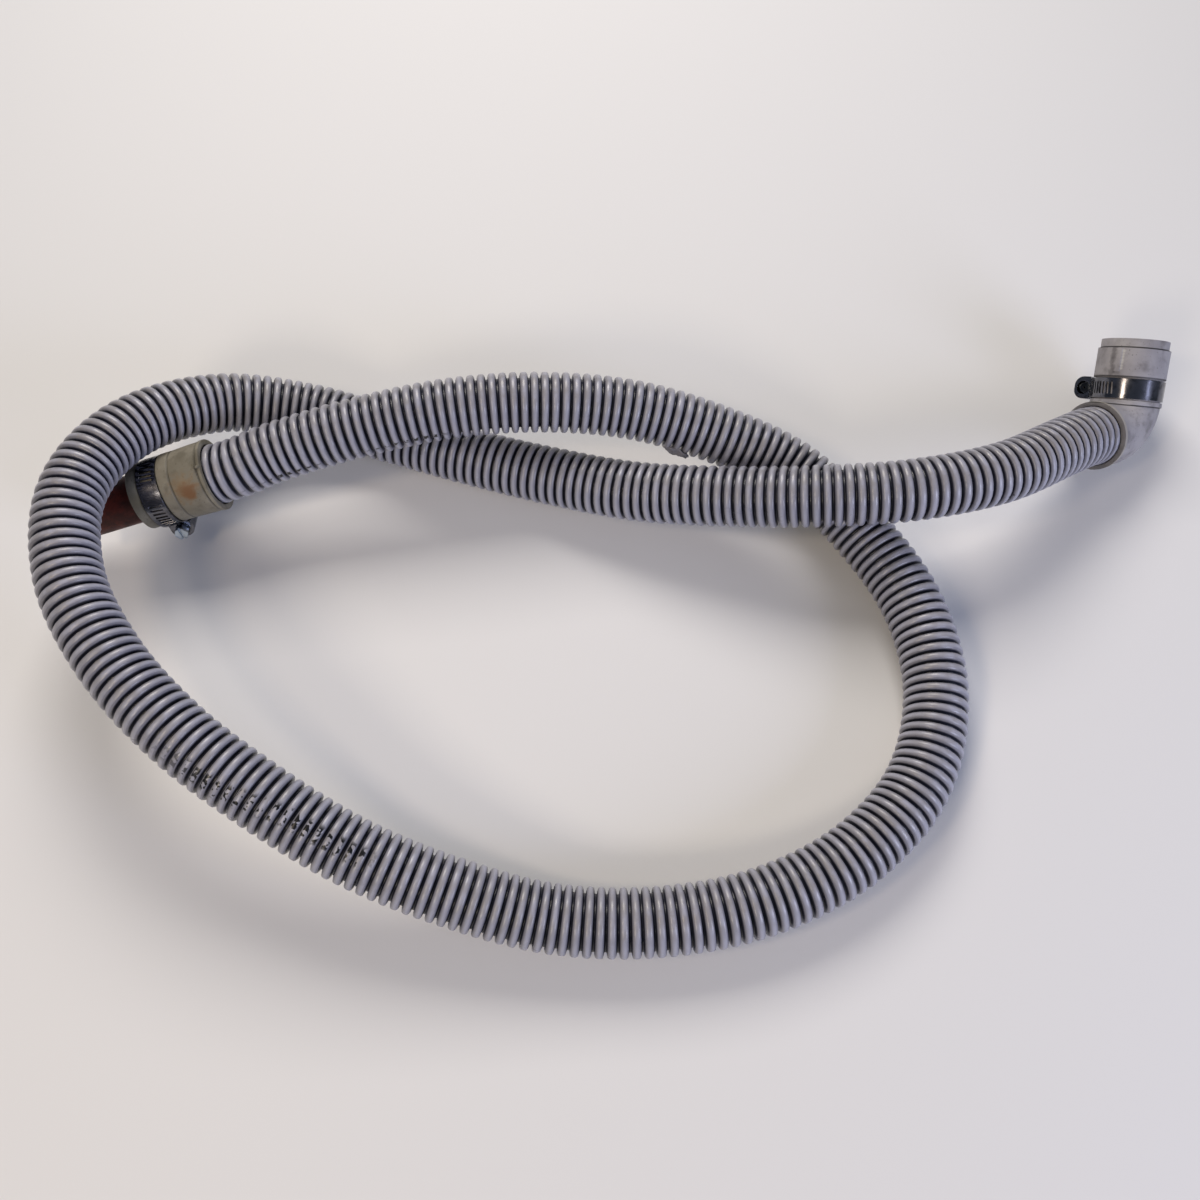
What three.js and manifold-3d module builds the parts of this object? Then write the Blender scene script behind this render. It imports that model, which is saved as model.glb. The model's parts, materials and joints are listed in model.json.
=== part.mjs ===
// Dishwasher drain hose as it lies on a flat surface: a ring-corrugated hose in one loose
// loop, a straight rubber cuff and a rubber elbow on its ends, a worm-drive clamp on each,
// and the short end of a copper tube that the straight cuff is still clamped on.
// Millimetres and degrees, +Z up, the surface is Z = 0.

import * as THREE from 'three';
import { mergeVertices } from 'three/addons/utils/BufferGeometryUtils.js';
import Module from 'manifold-3d';

const wasm = await Module();
wasm.setup();

// Driving dimensions

const HOSE = { outer: 27, wall: 3, sides: 12, steps: 80 };

// Centre line of the hose from the straight cuff's face to the elbow's face
const ROUTE = [
  [-169.2, 53.3, 35.1], [-159.5, 55.1, 36.8], [-143, 60.5, 39.5], [-105, 69, 44],
  [-64, 75.5, 46.5], [-24, 78, 45], [17, 76, 39.5], [56, 67, 30.5],
  [91, 52, 21], [119.5, 21, 14], [137, -16, 13.5], [140, -56, 13.5],
  [126.5, -94, 13.5], [97.5, -122, 13.5], [59, -139, 13.5], [18, -145, 13.5],
  [-23, -142.5, 15], [-62, -132, 22], [-99, -117, 31], [-134, -96, 41],
  [-166, -72, 50], [-193, -43, 57], [-212.5, -8, 61.5], [-217.5, 32, 61.5],
  [-203, 68, 52], [-172, 92, 35], [-134, 95, 21], [-96, 84.5, 14.5],
  [-58, 71, 13.5], [-20, 57, 16], [18, 43.5, 22], [58, 33, 32],
  [98, 26, 41], [138, 25, 45], [177, 34, 41], [210, 51.5, 31.5],
  [223.6, 59.4, 26.1], [230.1, 62.6, 22.8],
];
const INSERT = 10;
const ORIGIN = [17.3, -22.55, -0.1];

// Clearance between pieces, the small edge that breaks a corner, and how far joined shapes overlap
const FIT = 0.3;
const EDGE = 0.4;
const STEP = 0.1;
const LAP = 0.4;

// Walls are measured outwards from the hose's socket, and from the pipe's past the ring
const CUFF = {
  collarWall: 2.4, collarRim: 1.3, collarGroove: 0.9, grooveDepth: 0.7, bodyWall: 2.1, taper: 0.4,
  bodyLength: 15, ringLength: 5.2, seatWall: 3.1, seatLength: 10.2, lipWall: 3.7, lipLength: 4.4,
  round: 0.6, nub: [2.2, 1.2, 2.2], nubStart: 0.2, nubTurn: -18,
};

const PIPE = { outer: 22, wall: 1, inside: 22, outside: 30 };

// The wall is outside the hose's socket, and the other heights and depths are set off from it
const ELBOW = {
  wall: 1.2, boreWall: 5, bend: 79.2, throat: 0.6, bendSteps: 14, hoseStraight: 10.6,
  rim: 0.7, rimLength: 1.6, rimSlope: 0.5, flangeLength: 2, seatDepth: 0.4, seatLength: 10.4,
  headRise: 0.5, headLength: 13.2, lipDepth: 0.4, lipLength: 4.1, mouthWall: 4, mouthDepth: 24,
  round: 0.5, rib: [3.2, 0.6, 10.5], ribTurn: 7,
};
const MOUTH = [0.12, 0.80, 0.58];

const BAND = {
  width: 9, thick: 0.7, slotPitch: 2, slotLength: 5.4, slotWidth: 1, slotLean: 6,
  entryGap: 1.6, tuck: 1.1,
};
const SADDLE = { length: 11, width: 10.4, wall: 1.1, crown: 4.2 };
const SCREW = {
  core: 4.6, journal: 5.6, journalLength: 0.9, bore: 6.2, lift: 2.6,
  headAcross: 5.5, headLength: 3.8, slot: [1, 1.2],
};
const STRAIGHT_CLAMP = { turn: -156, head: 1, entrySlots: 26, tailSlots: 11 };
const ELBOW_CLAMP = { turn: -86, head: -1, entrySlots: 9, tailSlots: 4 };

const SEGMENTS = 40;
const BAND_SEGMENTS = 60;
const SCREW_SEGMENTS = 32;
const hoseSocket = HOSE.outer / 2 + FIT;
const pipeSocket = PIPE.outer / 2 + FIT;
const hoseBore = HOSE.outer / 2 - HOSE.wall;

const UP = new THREE.Vector3(0, 0, 1);
const rad = THREE.MathUtils.degToRad;

// Materials

const PLASTIC = new THREE.MeshStandardMaterial({ color: 0x8b8b98, roughness: 0.42, metalness: 0 });
const CUFF_RUBBER = new THREE.MeshStandardMaterial({ color: 0x97938a, roughness: 0.62, metalness: 0 });
const ELBOW_RUBBER = new THREE.MeshStandardMaterial({ color: 0x8c8987, roughness: 0.6, metalness: 0 });
const STEEL = new THREE.MeshStandardMaterial({ color: 0xb9bbc0, roughness: 0.22, metalness: 1 });
const ZINC = new THREE.MeshStandardMaterial({ color: 0xc4ccd4, roughness: 0.3, metalness: 1 });
const COPPER = new THREE.MeshStandardMaterial({ color: 0x5e2a1c, roughness: 0.5, metalness: 0.9 });

// Solids and meshes

function solid(geometry) {
  const plain = geometry.index ? geometry.toNonIndexed() : geometry.clone();
  plain.deleteAttribute('normal');
  plain.deleteAttribute('uv');
  const merged = mergeVertices(plain, 1e-5);
  return new wasm.Manifold(new wasm.Mesh({
    numProp: 3,
    vertProperties: new Float32Array(merged.attributes.position.array),
    triVerts: new Uint32Array(merged.index.array),
  }));
}

function geometryOf(body) {
  const mesh = body.getMesh();
  const geometry = new THREE.BufferGeometry();
  geometry.setAttribute('position', new THREE.BufferAttribute(mesh.vertProperties, 3));
  geometry.setIndex(new THREE.BufferAttribute(mesh.triVerts, 1));
  return geometry;
}

function joined(geometries) {
  return geometries.map(solid).reduce((sum, next) => sum.add(next));
}

function named(name, geometry, material) {
  const mesh = new THREE.Mesh(geometry, material);
  mesh.name = name;
  return mesh;
}

// A turned ring or rod about Z, from [radius, height] corners that go round its section
function turned(section, segments = SEGMENTS) {
  const points = section.map(([r, z]) => new THREE.Vector2(r, z));
  const area = THREE.ShapeUtils.area(points);
  if (area < 0) points.reverse();
  points.push(points[0].clone());
  const lathe = new THREE.LatheGeometry(points, segments);
  lathe.rotateX(Math.PI / 2);
  return lathe;
}

function rod(radius, from, to, segments = SEGMENTS) {
  const cylinder = new THREE.CylinderGeometry(radius, radius, to - from, segments);
  cylinder.rotateX(Math.PI / 2);
  cylinder.translate(0, 0, (from + to) / 2);
  return cylinder;
}

// A group at a point, with +Z along an axis and +X as near to a wanted direction as it can be
function seatedAt(origin, axis, wanted) {
  const z = axis.clone().normalize();
  const x = wanted.clone().addScaledVector(z, -wanted.dot(z)).normalize();
  const y = new THREE.Vector3().crossVectors(z, x);
  const group = new THREE.Group();
  group.setRotationFromMatrix(new THREE.Matrix4().makeBasis(x, y, z));
  group.position.copy(origin);
  return group;
}

// The route, moved so that the whole object is centred on its origin

const route = ROUTE.map(([x, y, z]) => new THREE.Vector3(x - ORIGIN[0], y - ORIGIN[1], z - ORIGIN[2]));
const last = route.length - 1;
const cuffAxis = route[0].clone().sub(route[1]).normalize();
const elbowAxis = route[last].clone().sub(route[last - 1]).normalize();

function corrugatedHose() {
  const start = route[0].clone().addScaledVector(cuffAxis, INSERT);
  const end = route[last].clone().addScaledVector(elbowAxis, INSERT);
  const path = new THREE.CatmullRomCurve3([start, ...route, end]);
  const section = new THREE.Shape();
  const hole = new THREE.Path();
  for (let i = 0; i < HOSE.sides; i += 1) {
    const angle = rad((i * 360) / HOSE.sides);
    const step = i === 0 ? 'moveTo' : 'lineTo';
    section[step]((Math.cos(angle) * HOSE.outer) / 2, (Math.sin(angle) * HOSE.outer) / 2);
    hole[step](Math.cos(angle) * hoseBore, Math.sin(angle) * hoseBore);
  }
  section.closePath();
  hole.closePath();
  section.holes.push(hole);
  const tube = new THREE.ExtrudeGeometry(section, { steps: HOSE.steps, extrudePath: path });
  return named('corrugated_hose', tube, PLASTIC);
}

// The straight cuff runs from the hose's face, height 0, to its mouth

const cuffRingEnd = CUFF.bodyLength + CUFF.ringLength;
const cuffSeatEnd = cuffRingEnd + CUFF.seatLength;
const cuffLength = cuffSeatEnd + CUFF.lipLength;
const cuffCollar = hoseSocket + CUFF.collarWall;
const cuffSeat = pipeSocket + CUFF.seatWall;

function straightCuff() {
  const groove = cuffCollar - CUFF.grooveDepth;
  const rim = CUFF.collarRim;
  const second = rim + CUFF.collarGroove;
  const body = hoseSocket + CUFF.bodyWall;
  const ring = body - CUFF.taper;
  const lip = pipeSocket + CUFF.lipWall;
  const pipeStop = cuffLength - PIPE.inside - FIT;
  const round = CUFF.round;
  const sleeve = turned([
    [hoseSocket, 0], [cuffCollar - EDGE, 0], [cuffCollar, EDGE], [cuffCollar, rim],
    [groove, rim + STEP], [groove, second], [body, second + STEP],
    [ring, CUFF.bodyLength - round], [ring - round, CUFF.bodyLength],
    [ring, CUFF.bodyLength + round], [ring, cuffRingEnd - EDGE],
    [ring - EDGE, cuffRingEnd], [cuffSeat, cuffRingEnd],
    [cuffSeat, cuffSeatEnd], [lip - EDGE, cuffSeatEnd],
    [lip, cuffSeatEnd + EDGE], [lip, cuffLength - round],
    [lip - round, cuffLength], [pipeSocket, cuffLength],
    [pipeSocket, pipeStop], [hoseBore, pipeStop],
    [hoseBore, INSERT + FIT], [hoseSocket, INSERT + FIT],
  ]);
  const [along, high, wide] = CUFF.nub;
  const nub = new THREE.BoxGeometry(high + LAP, wide, along);
  nub.translate(cuffCollar + (high - LAP) / 2, 0, along / 2 + CUFF.nubStart);
  nub.rotateZ(rad(CUFF.nubTurn));
  return named('straight_cuff', geometryOf(joined([sleeve, nub])), CUFF_RUBBER);
}

function copperPipe() {
  const outer = PIPE.outer / 2;
  const start = cuffLength - PIPE.inside;
  const end = cuffLength + PIPE.outside;
  const tube = turned([
    [outer - PIPE.wall, start], [outer, start], [outer, end - EDGE],
    [outer - EDGE, end], [outer - PIPE.wall, end],
  ]);
  return named('copper_pipe_stub', tube, COPPER);
}

// The elbow: +Z runs on from the hose and +X is the side that the mouth turns to

const elbowOuter = hoseSocket + ELBOW.wall;
const elbowSeat = elbowOuter - ELBOW.seatDepth;
const bendAngle = rad(ELBOW.bend);
const bendRadius = elbowOuter + ELBOW.throat;
const bendSetback = bendRadius * Math.tan(bendAngle / 2);

// The centre line of the bend: a quarter ring, near enough, from one arm to the other
class BendLine extends THREE.Curve {
  getPoint(t, target = new THREE.Vector3()) {
    const turn = t * bendAngle;
    return target.set(bendRadius * (1 - Math.cos(turn)), 0, ELBOW.hoseStraight + bendRadius * Math.sin(turn));
  }
}

function bendPiece(radius) {
  const section = new THREE.Shape();
  section.absarc(0, 0, radius, 0, Math.PI * 2, false);
  const path = new BendLine();
  const curveSegments = SEGMENTS / 2;
  return new THREE.ExtrudeGeometry(section, { steps: ELBOW.bendSteps, extrudePath: path, curveSegments });
}

// A frame at the end of the bend, +Z towards the mouth
function mouthArmFrame() {
  const arm = new THREE.Object3D();
  arm.rotation.y = bendAngle;
  arm.position.z = ELBOW.hoseStraight + bendSetback;
  arm.translateZ(bendSetback);
  arm.updateMatrix();
  return arm.matrix;
}

function elbowCuff() {
  const toMouthArm = mouthArmFrame();
  const onMouthArm = (geometry) => geometry.applyMatrix4(toMouthArm);
  const outer = elbowOuter;
  const rim = outer + ELBOW.rim;
  const head = outer + ELBOW.headRise;
  const lip = outer - ELBOW.lipDepth;
  const seatEnd = ELBOW.seatLength;
  const headEnd = seatEnd + ELBOW.headLength;
  const mouthEnd = headEnd + ELBOW.lipLength;
  const straightEnd = ELBOW.hoseStraight + LAP;
  const round = ELBOW.round;
  const hoseArm = turned([
    [0, 0], [rim - EDGE, 0], [rim, EDGE], [rim, ELBOW.rimLength], [outer, ELBOW.rimLength + ELBOW.rimSlope],
    [outer, straightEnd], [0, straightEnd],
  ]);
  const mouthArm = onMouthArm(turned([
    [0, -ELBOW.flangeLength], [head, -ELBOW.flangeLength], [head, 0], [elbowSeat, 0],
    [elbowSeat, seatEnd], [head - round, seatEnd], [head, seatEnd + round],
    [head, headEnd - round], [head - round, headEnd], [lip, headEnd],
    [lip, mouthEnd - round], [lip - round, mouthEnd], [0, mouthEnd],
  ]));
  const [wide, high, long] = ELBOW.rib;
  const ribBox = new THREE.BoxGeometry(high * 2, wide, long);
  ribBox.translate(head, 0, headEnd - round - long / 2);
  ribBox.rotateZ(rad(ELBOW.ribTurn));
  const shell = joined([hoseArm, mouthArm, onMouthArm(ribBox), bendPiece(outer)]);
  const bore = outer - ELBOW.boreWall;
  const openings = joined([
    rod(hoseSocket, -LAP, INSERT + FIT),
    rod(bore, 0, straightEnd),
    bendPiece(bore),
    onMouthArm(rod(bore, -LAP, mouthEnd)),
    onMouthArm(rod(outer - ELBOW.mouthWall, mouthEnd - ELBOW.mouthDepth, mouthEnd + LAP)),
  ]);
  return named('elbow_cuff', geometryOf(shell.subtract(openings)), ELBOW_RUBBER);
}

// Worm-drive clamp about Z: the saddle is at +X and the screw runs along Y

// A slot cut from outside, as deep as asked, half of it above the radius
function slotAt(degrees, radius, deep) {
  const slot = new THREE.BoxGeometry(deep, BAND.slotWidth, BAND.slotLength);
  slot.rotateX(rad(BAND.slotLean));
  slot.translate(radius, 0, 0);
  slot.rotateZ(rad(degrees));
  return slot;
}

function clampBand(seatRadius, clamp) {
  const inner = seatRadius + FIT;
  const outer = inner + BAND.thick;
  const half = BAND.width / 2;
  const loop = turned([[inner, -half], [outer, -half], [outer, half], [inner, half]], BAND_SEGMENTS);
  const degreesFor = (length) => THREE.MathUtils.radToDeg(length / outer);
  const pitch = degreesFor(BAND.slotPitch);
  const underSaddle = degreesFor(SADDLE.length / 2);
  const tailEnd = underSaddle + pitch * (clamp.tailSlots + 1);
  const tail = new THREE.Shape();
  tail.absarc(0, 0, outer + BAND.thick, rad(-underSaddle), rad(tailEnd), false);
  tail.absarc(0, 0, outer - FIT, rad(tailEnd), rad(-underSaddle - degreesFor(BAND.tuck)), true);
  tail.closePath();
  const curveSegments = BAND_SEGMENTS / 2;
  const tailBody = new THREE.ExtrudeGeometry(tail, { depth: BAND.width, bevelEnabled: false, curveSegments });
  tailBody.translate(0, 0, -half);
  if (clamp.head < 0) {
    tailBody.rotateX(Math.PI);
  }
  let band = joined([loop, tailBody]);
  const entryStart = underSaddle + degreesFor(BAND.entryGap);
  for (let i = 0; i < clamp.entrySlots; i += 1) {
    const degrees = -entryStart - pitch * (i + 0.5);
    band = band.subtract(solid(slotAt(degrees * clamp.head, (inner + outer) / 2, BAND.thick * 3)));
  }
  for (let i = 0; i < clamp.tailSlots; i += 1) {
    const degrees = underSaddle + pitch * (i + 0.5);
    band = band.subtract(solid(slotAt(degrees * clamp.head, outer + BAND.thick, BAND.thick)));
  }
  return geometryOf(band);
}

function screwRadius(seatRadius) {
  return seatRadius + FIT + 2 * BAND.thick + SCREW.lift;
}

function clampSaddle(seatRadius) {
  const bandOut = seatRadius + FIT + 2 * BAND.thick;
  const axis = screwRadius(seatRadius);
  const half = SADDLE.width / 2;
  const top = axis + SCREW.bore / 2 + SADDLE.wall;
  const arch = new THREE.Shape();
  arch.moveTo(seatRadius, -half);
  arch.lineTo(top - SADDLE.crown, -half);
  arch.absellipse(top - SADDLE.crown, 0, SADDLE.crown, half, -Math.PI / 2, Math.PI / 2, false);
  arch.lineTo(seatRadius, half);
  arch.closePath();
  const depth = SADDLE.length;
  const body = new THREE.ExtrudeGeometry(arch, { depth, bevelEnabled: false, curveSegments: 16 });
  body.translate(0, 0, -SADDLE.length / 2);
  body.rotateX(Math.PI / 2);
  const bore = rod(SCREW.bore / 2, -SADDLE.length, SADDLE.length, SCREW_SEGMENTS);
  bore.rotateX(Math.PI / 2);
  bore.translate(axis, 0, 0);
  const around = rod(bandOut + FIT, -SADDLE.width, SADDLE.width, BAND_SEGMENTS);
  return geometryOf(solid(body).subtract(solid(bore)).subtract(solid(around)));
}

function clampScrew() {
  const half = SADDLE.length / 2;
  const core = SCREW.core / 2;
  const journal = SCREW.journal / 2;
  const shaft = turned([
    [0, -half], [journal, -half], [journal, SCREW.journalLength - half], [core, SCREW.journalLength - half],
    [core, half - SCREW.journalLength], [journal, half - SCREW.journalLength], [journal, half],
    [core, half], [core, half + FIT + LAP], [0, half + FIT + LAP],
  ], SCREW_SEGMENTS);
  const headRadius = SCREW.headAcross / 2 / Math.cos(Math.PI / 6);
  const head = rod(headRadius, half + FIT, half + FIT + SCREW.headLength, 6);
  const [wide, deep] = SCREW.slot;
  const cut = new THREE.BoxGeometry(SCREW.headAcross * 2, wide, deep * 2);
  cut.translate(0, 0, half + FIT + SCREW.headLength);
  return geometryOf(joined([shaft, head]).subtract(solid(cut)));
}

function wormClamp(name, seatRadius, clamp) {
  const group = new THREE.Group();
  const screw = named(`${name}_screw`, clampScrew(), ZINC);
  screw.rotation.x = -clamp.head * Math.PI / 2;
  screw.position.x = screwRadius(seatRadius);
  group.add(named(`${name}_band`, clampBand(seatRadius, clamp), STEEL));
  group.add(named(`${name}_housing`, clampSaddle(seatRadius), STEEL));
  group.add(screw);
  group.rotation.z = rad(clamp.turn);
  return group;
}

// Assembly

function straightEnd() {
  const end = seatedAt(route[0], cuffAxis, UP);
  const clamp = wormClamp('straight_clamp', cuffSeat, STRAIGHT_CLAMP);
  clamp.position.z = cuffRingEnd + CUFF.seatLength / 2;
  end.add(straightCuff(), copperPipe(), clamp);
  return end;
}

function elbowEnd() {
  const mouth = new THREE.Vector3(...MOUTH).normalize();
  const end = seatedAt(route[last], elbowAxis, mouth);
  const arm = new THREE.Group();
  arm.applyMatrix4(mouthArmFrame());
  const clamp = wormClamp('elbow_clamp', elbowSeat, ELBOW_CLAMP);
  clamp.position.z = ELBOW.seatLength / 2;
  arm.add(clamp);
  end.add(elbowCuff(), arm);
  return end;
}

const drainHose = new THREE.Group();
drainHose.add(corrugatedHose(), straightEnd(), elbowEnd());

export default drainHose;
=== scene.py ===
# %% [markdown]
# This lesson dresses a used dishwasher drain hose: a ribbed plastic hose in one loose loop, a
# straight rubber cuff and a rubber elbow on its ends, a worm-drive clamp on each, and the short
# end of a copper tube. The sizes come from a model that is already packed, so first that model
# is loaded. Everything we make has to stay inside that box.

# %% Load the imported model
import json
import math

import bpy
import bmesh
import numpy as np
from mathutils import Matrix, Vector, noise

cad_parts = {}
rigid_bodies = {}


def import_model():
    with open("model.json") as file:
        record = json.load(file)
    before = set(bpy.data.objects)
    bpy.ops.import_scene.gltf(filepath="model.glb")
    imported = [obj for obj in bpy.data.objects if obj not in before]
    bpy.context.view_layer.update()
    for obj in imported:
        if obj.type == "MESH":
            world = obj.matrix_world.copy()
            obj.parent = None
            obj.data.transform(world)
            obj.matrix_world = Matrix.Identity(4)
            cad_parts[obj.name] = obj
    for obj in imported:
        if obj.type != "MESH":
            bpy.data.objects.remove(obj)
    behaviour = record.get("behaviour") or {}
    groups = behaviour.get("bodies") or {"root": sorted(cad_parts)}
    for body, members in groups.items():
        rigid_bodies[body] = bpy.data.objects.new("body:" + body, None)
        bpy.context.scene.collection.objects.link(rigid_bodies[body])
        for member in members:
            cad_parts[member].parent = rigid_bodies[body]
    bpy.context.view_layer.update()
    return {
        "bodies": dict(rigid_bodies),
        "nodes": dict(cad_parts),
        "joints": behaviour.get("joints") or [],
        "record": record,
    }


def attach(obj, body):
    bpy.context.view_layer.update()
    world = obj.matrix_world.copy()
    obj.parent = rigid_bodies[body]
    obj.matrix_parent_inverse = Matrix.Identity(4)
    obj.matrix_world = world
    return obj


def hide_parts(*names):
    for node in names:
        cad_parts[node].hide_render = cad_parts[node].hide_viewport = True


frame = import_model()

MM = 0.001
UP = Vector((0, 0, 1))

# %% [markdown]
# Blender's operators act on whatever is selected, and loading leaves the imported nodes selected,
# so we deselect everything before each new piece. Colours are written as sRGB hex values, and
# one function turns them to the linear values that shaders expect. Another adds a shader node
# with its settings and links.

# %% Helpers for selection, colours and shader nodes
def deselect_all():
    """Leave nothing selected, so that an operator acts on the next piece alone."""
    bpy.ops.object.select_all(action="DESELECT")


def make_active(piece, *others):
    """Select one piece, with any others that belong to the next step, and make it the active one."""
    deselect_all()
    for one in (piece, *others):
        one.select_set(True)
    bpy.context.view_layer.objects.active = piece


def add_object(name, operator, **settings):
    """Add an object with an operator, while nothing else is selected, and name it."""
    deselect_all()
    operator(**settings)
    piece = bpy.context.object
    piece.name = name
    return piece


def linear(hex_value):
    """Turn an sRGB colour such as "#8b8b98" into linear red, green, blue and alpha."""
    channels = [int(hex_value[i:i + 2], 16) / 255 for i in (1, 3, 5)]
    return [c / 12.92 if c <= 0.04045 else ((c + 0.055) / 1.055) ** 2.4 for c in channels] + [1.0]


def add_node(tree, kind, inputs=(), **settings):
    """Add one shader node, set it and fill its inputs.

    An input is named or numbered. Its value is a number, a vector, a hex colour or the output
    of another node, which is linked to it."""
    node = tree.nodes.new("ShaderNode" + kind)
    for name, value in settings.items():
        setattr(node, name, value)
    for key, value in dict(inputs).items():
        named = [socket for socket in node.inputs if socket.name == key and socket.enabled]
        socket = named[0] if named else node.inputs[key]
        if isinstance(value, bpy.types.NodeSocket):
            tree.links.new(value, socket)
        else:
            socket.default_value = linear(value) if isinstance(value, str) else value
    return node


def new_material(name):
    """A material with an empty node tree."""
    material = bpy.data.materials.new(name)
    material.use_nodes = True
    material.node_tree.nodes.clear()
    return material, material.node_tree


print("helpers ready")

# %% [markdown]
# The camera stands where the photographer stood: above the near edge of the loop, looking down
# by about 65 degrees, with a slight roll. A camera looks along its own -Z axis, so its matrix
# is made of three directions: right, up and the reverse of the view.

# %% Camera
CAMERA_PLACE = (-0.0173, -0.18878, 0.44923)
CAMERA_RIGHT = Vector((0.9992, -0.0369, -0.0174))
CAMERA_UP = Vector((0.0408, 0.9040, 0.4254))
SENSOR_MM = 36.0
LENS_MM = 32.70


def add_camera():
    """Place the camera by its right and up directions."""
    camera = add_object("photo_camera", bpy.ops.object.camera_add)
    right = CAMERA_RIGHT.normalized()
    up = (CAMERA_UP - CAMERA_UP.dot(right) * right).normalized()
    turn = Matrix((right, up, right.cross(up))).transposed()
    camera.matrix_world = Matrix.Translation(CAMERA_PLACE) @ turn.to_4x4()
    camera.data.sensor_width = SENSOR_MM
    camera.data.lens = LENS_MM
    camera.data.clip_start = 0.01
    bpy.context.scene.camera = camera
    return camera


camera = add_camera()
print("camera looks down by", round(math.degrees(math.asin(camera.matrix_world.col[2].z)), 1), "degrees")

# %% [markdown]
# The hose's centre line is a list of given points, the same list as in the part's own
# source, with the origin moved to the middle of the object. A smooth curve goes through them.
# Its pace between two points follows the square root of their distance, which keeps it from
# swinging out where points stand close together.

# %% Centre line of the hose
ORIGIN = Vector((17.3, -22.55, -0.1))
ROUTE = [
    (-169.2, 53.3, 35.1), (-159.5, 55.1, 36.8), (-143, 60.5, 39.5), (-105, 69, 44),
    (-64, 75.5, 46.5), (-24, 78, 45), (17, 76, 39.5), (56, 67, 30.5),
    (91, 52, 21), (119.5, 21, 14), (137, -16, 13.5), (140, -56, 13.5),
    (126.5, -94, 13.5), (97.5, -122, 13.5), (59, -139, 13.5), (18, -145, 13.5),
    (-23, -142.5, 15), (-62, -132, 22), (-99, -117, 31), (-134, -96, 41),
    (-166, -72, 50), (-193, -43, 57), (-212.5, -8, 61.5), (-217.5, 32, 61.5),
    (-203, 68, 52), (-172, 92, 35), (-134, 95, 21), (-96, 84.5, 14.5),
    (-58, 71, 13.5), (-20, 57, 16), (18, 43.5, 22), (58, 33, 32),
    (98, 26, 41), (138, 25, 45), (177, 34, 41), (210, 51.5, 31.5),
    (223.6, 59.4, 26.1), (230.1, 62.6, 22.8),
]
HOSE_INSIDE = 10
INSERT = HOSE_INSIDE * MM
CURVE_STEPS = 24
route = [(Vector(point) - ORIGIN) * MM for point in ROUTE]
cuff_axis = (route[0] - route[1]).normalized()
elbow_axis = (route[-1] - route[-2]).normalized()


def smooth_line(points, steps):
    """Sample a centripetal Catmull-Rom curve through the points, `steps` to a span."""
    ends = [2 * points[0] - points[1], *points, 2 * points[-1] - points[-2]]
    line = []
    for a, b, c, d in zip(ends, ends[1:], ends[2:], ends[3:]):
        t1 = (b - a).length ** 0.5
        t2 = t1 + (c - b).length ** 0.5
        t3 = t2 + (d - c).length ** 0.5
        for t in np.linspace(t1, t2, steps, endpoint=False):
            ab = a.lerp(b, t / t1)
            bc = b.lerp(c, (t - t1) / (t2 - t1))
            cd = c.lerp(d, (t - t2) / (t3 - t2))
            line.append(ab.lerp(bc, t / t2).lerp(bc.lerp(cd, (t - t1) / (t3 - t1)), (t - t1) / (t2 - t1)))
    return np.array([*line, points[-1]])


whole_route = [route[0] + cuff_axis * INSERT, *route, route[-1] + elbow_axis * INSERT]
centre = smooth_line(whole_route, CURVE_STEPS)
along = np.concatenate([[0], np.cumsum(np.linalg.norm(np.diff(centre, axis=0), axis=1))])
print("hose:", round(along[-1], 3), "m, of which", round(along[-1] - 2 * INSERT, 3), "m in sight")

# %% [markdown]
# The real hose is blown into a corrugated mould, so it is a stack of equal ridges: a broad round
# crest and a narrow groove. Each ring of points is placed by its own distance along the line,
# which keeps every rib square to it. A plain bore of wide-spaced rings comes back through the
# inside, so that the tube has a wall.

# %% Ribbed tube
HOSE_INNER = 10.4 * MM
RIB_PITCH = 4.55 * MM
HOSE_SIDES = 28
BORE_SPACING = 9 * MM
RIB_LOW, RIB_HIGH = 10.9, 13.5
RIB_SHAPE = [(0.09, RIB_LOW), (0.13, 12.1), (0.19, 12.9), (0.31, 13.36), (0.50, RIB_HIGH), (0.69, 13.36),
             (0.81, 12.9), (0.87, 12.1), (0.91, RIB_LOW)]


def ring_directions(distances):
    """The centre of each ring and the directions to its points, carried along without twist."""
    def line_at(wanted):
        return np.array([np.interp(wanted, along, centre[:, axis]) for axis in range(3)]).T

    tangents = line_at(distances + 0.5 * MM) - line_at(distances - 0.5 * MM)
    tangents /= np.linalg.norm(tangents, axis=1)[:, None]
    sides = []
    side = np.array(UP)
    for tangent in tangents:
        side = side - side.dot(tangent) * tangent
        side /= np.linalg.norm(side)
        sides.append(side)
    sides = np.array(sides)
    others = np.cross(tangents, sides)
    angles = np.arange(HOSE_SIDES) * 2 * np.pi / HOSE_SIDES
    out = np.cos(angles)[None, :, None] * sides[:, None] + np.sin(angles)[None, :, None] * others[:, None]
    return line_at(distances), out


def tube_rings(distances, radii):
    """One ring of points for each distance and radius, pressed flat where it meets the floor."""
    places, out = ring_directions(distances)
    rings = places[:, None] + out * radii[:, None, None]
    rings[..., 2] = np.maximum(rings[..., 2], 0)
    return rings


rib_count = round(along[-1] / RIB_PITCH)
pitch = along[-1] / rib_count
shape_along = np.array([place for place, _ in RIB_SHAPE])
shape_radius = np.array([radius for _, radius in RIB_SHAPE]) * MM
outer_along = (np.arange(rib_count)[:, None] + shape_along).ravel() * pitch
outer_radius = np.tile(shape_radius, rib_count)
bore_along = np.linspace(outer_along[-1], outer_along[0], round(along[-1] / BORE_SPACING))
print(rib_count, "ribs at", round(pitch / MM, 2), "mm")

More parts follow.
